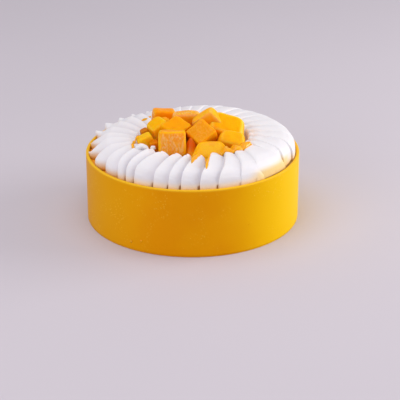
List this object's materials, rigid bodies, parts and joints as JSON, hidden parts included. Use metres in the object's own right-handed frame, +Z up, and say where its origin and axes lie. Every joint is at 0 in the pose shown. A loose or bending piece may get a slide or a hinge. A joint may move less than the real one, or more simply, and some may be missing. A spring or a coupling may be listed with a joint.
{
  "type": "mango cake",
  "caption": "Round mango cake in a smooth yellow collar, topped with a ring of piped cream petals and a heap of mango chunks in sauce.",
  "frame": {"origin": "centre of the cake's flat underside", "axes": "+Z up through the middle of the cake; -Y is the front, the side the picture shows nearest"},
  "size_m": [0.16, 0.16, 0.084],
  "materials": {
    "glaze": "satin mango glaze",
    "filling": "matt cream and sponge",
    "cream": "soft satin whipped cream",
    "sauce": "wet gloss",
    "mango": "moist satin"
  },
  "bodies": {
    "root": {"collar": "glaze", "cake_body": "filling", "piped_cream": "cream", "mango_sauce": "sauce", "mango_chunk_01": "mango", "mango_chunk_02": "mango", "mango_chunk_03": "mango", "mango_chunk_04": "mango", "mango_chunk_05": "mango", "mango_chunk_06": "mango", "mango_chunk_07": "mango", "mango_chunk_08": "mango", "mango_chunk_09": "mango", "mango_chunk_10": "mango", "mango_chunk_11": "mango", "mango_chunk_12": "mango", "mango_chunk_13": "mango", "mango_chunk_14": "mango", "mango_chunk_15": "mango"}
  },
  "joints": []
}
